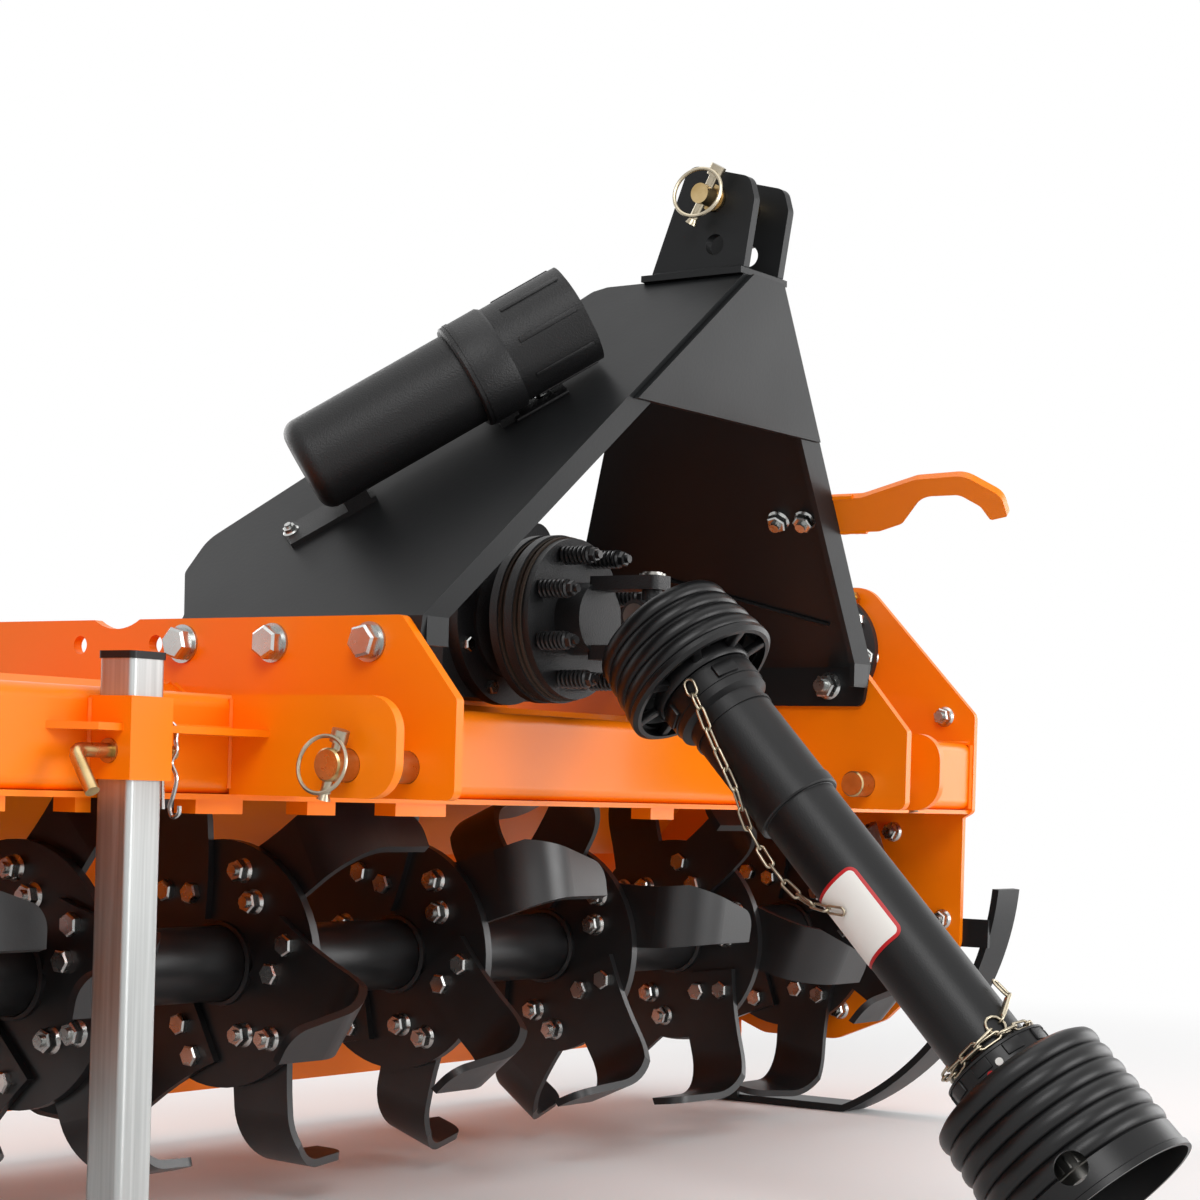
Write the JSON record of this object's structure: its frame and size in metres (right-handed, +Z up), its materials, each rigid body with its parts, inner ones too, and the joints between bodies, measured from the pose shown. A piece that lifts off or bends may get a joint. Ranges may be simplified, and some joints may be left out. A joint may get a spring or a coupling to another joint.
{
  "type": "rotavator",
  "caption": "Tractor-mounted rotavator: bladed rotor under a folded deck, three-point headstock, side gear case, slip clutch, guarded driveline, skids, rear gate and parking stand.",
  "frame": {"origin": "middle of the bounding box at floor level, as the machine stands parked", "axes": "+X towards the side drive along the working width, +Y to the rear, +Z up"},
  "size_m": [1.85, 1.2742, 1.0113],
  "materials": {
    "clevis_plate_left": "smooth glossy orange enamel",
    "clevis_plate_right": "smooth glossy orange enamel",
    "clutch_pack": "bright machined or zinc plated steel",
    "clutch_springs": "bright machined or zinc plated steel",
    "cross_housing": "smooth glossy orange enamel",
    "deck": "smooth glossy orange enamel",
    "document_cap": "black moulded plastic",
    "document_tube": "black moulded plastic",
    "end_yoke": "bright machined or zinc plated steel",
    "front_beam": "smooth glossy orange enamel",
    "gate_hinges": "smooth glossy orange enamel",
    "gate_rod_left": "galvanised steel",
    "gate_rod_right": "galvanised steel",
    "gear_case": "smooth glossy orange enamel",
    "gearbox": "satin dark grey paint",
    "gearbox_plate": "smooth glossy orange enamel",
    "guard_bell": "black moulded plastic",
    "guard_chains": "galvanised steel",
    "guard_cone": "black moulded plastic",
    "guard_tube": "black moulded plastic",
    "hitch_rail_left": "smooth glossy orange enamel",
    "hitch_rail_right": "smooth glossy orange enamel",
    "hood_cover": "satin dark grey paint",
    "hood_side_left": "satin dark grey paint",
    "hood_side_right": "satin dark grey paint",
    "input_yoke": "satin dark grey paint",
    "lower_pin_left": "galvanised steel",
    "lower_pin_right": "galvanised steel",
    "rear_gate": "smooth glossy orange enamel",
    "rod_guides": "smooth glossy orange enamel",
    "rotor_bearing": "satin dark grey paint",
    "rotor_shaft": "satin dark grey paint",
    "shaft_hook": "smooth glossy orange enamel",
    "shaft_yoke": "satin dark grey paint",
    "side_plate_left": "smooth glossy orange enamel",
    "side_plate_right": "smooth glossy orange enamel",
    "skid_left": "satin dark grey paint",
    "skid_right": "satin dark grey paint",
    "stand_cap": "black moulded plastic",
    "stand_sleeve": "smooth glossy orange enamel",
    "stand_tube": "galvanised steel",
    "tines_left_hand": "satin dark grey paint",
    "tines_right_hand": "satin dark grey paint",
    "top_ears": "satin dark grey paint",
    "top_plate": "satin dark grey paint",
    "upper_pin": "yellow zinc plated steel"
  },
  "bodies": {
    "frame": {"clevis_plate_left": "clevis_plate_left", "clevis_plate_right": "clevis_plate_right", "clutch_pack": "clutch_pack", "clutch_springs": "clutch_springs", "cross_housing": "cross_housing", "deck": "deck", "document_cap": "document_cap", "document_tube": "document_tube", "front_beam": "front_beam", "gate_hinges": "gate_hinges", "gear_case": "gear_case", "gearbox": "gearbox", "gearbox_plate": "gearbox_plate", "hitch_rail_left": "hitch_rail_left", "hitch_rail_right": "hitch_rail_right", "hood_cover": "hood_cover", "hood_side_left": "hood_side_left", "hood_side_right": "hood_side_right", "input_yoke": "input_yoke", "lower_pin_left": "lower_pin_left", "lower_pin_right": "lower_pin_right", "rod_guides": "rod_guides", "rotor_bearing": "rotor_bearing", "shaft_hook": "shaft_hook", "side_plate_left": "side_plate_left", "side_plate_right": "side_plate_right", "skid_left": "skid_left", "skid_right": "skid_right", "stand_sleeve": "stand_sleeve", "top_ears": "top_ears", "top_plate": "top_plate", "upper_pin": "upper_pin"},
    "driveline": {"shaft_yoke": "shaft_yoke", "guard_cone": "guard_cone", "guard_tube": "guard_tube", "guard_bell": "guard_bell", "end_yoke": "end_yoke", "guard_chains": "guard_chains"},
    "rotor": {"rotor_shaft": "rotor_shaft", "tines_left_hand": "tines_left_hand", "tines_right_hand": "tines_right_hand"},
    "stand": {"stand_tube": "stand_tube", "stand_cap": "stand_cap"},
    "rear gate": {"rear_gate": "rear_gate"},
    "gate rod right": {"gate_rod_right": "gate_rod_right"},
    "gate rod left": {"gate_rod_left": "gate_rod_left"}
  },
  "joints": [
    {"name": "rotor_spin", "type": "hinge", "parent": "frame", "child": "rotor", "pos_m": [-0.003, 0.27106, 0.235], "axis": [1, 0, 0], "continuous": true},
    {"name": "driveline_lift", "type": "hinge", "parent": "frame", "child": "driveline", "pos_m": [-0.053, -0.07594, 0.585], "axis": [-1, 0, 0], "range_deg": [0, 50]},
    {"name": "gate_lift", "type": "hinge", "parent": "frame", "child": "rear gate", "pos_m": [-0.003, 0.53906, 0.35], "axis": [1, 0, 0], "range_deg": [0, 60]},
    {"name": "gate_rod_right_turn", "type": "hinge", "parent": "rear gate", "child": "gate rod right", "pos_m": [-0.469, 0.62306, 0.18], "axis": [1, 0, 0], "range_deg": [-31, 0]},
    {"name": "gate_rod_left_turn", "type": "hinge", "parent": "rear gate", "child": "gate rod left", "pos_m": [0.363, 0.62306, 0.18], "axis": [1, 0, 0], "range_deg": [-31, 0]},
    {"name": "stand_slide", "type": "slide", "parent": "frame", "child": "stand", "axis": [0, 0, 1], "range_m": [0, 0.35]}
  ],
  "couplings": [
    {"joint": "gate_rod_right_turn", "follows": "gate_lift", "ratio": -0.512},
    {"joint": "gate_rod_left_turn", "follows": "gate_lift", "ratio": -0.512}
  ]
}
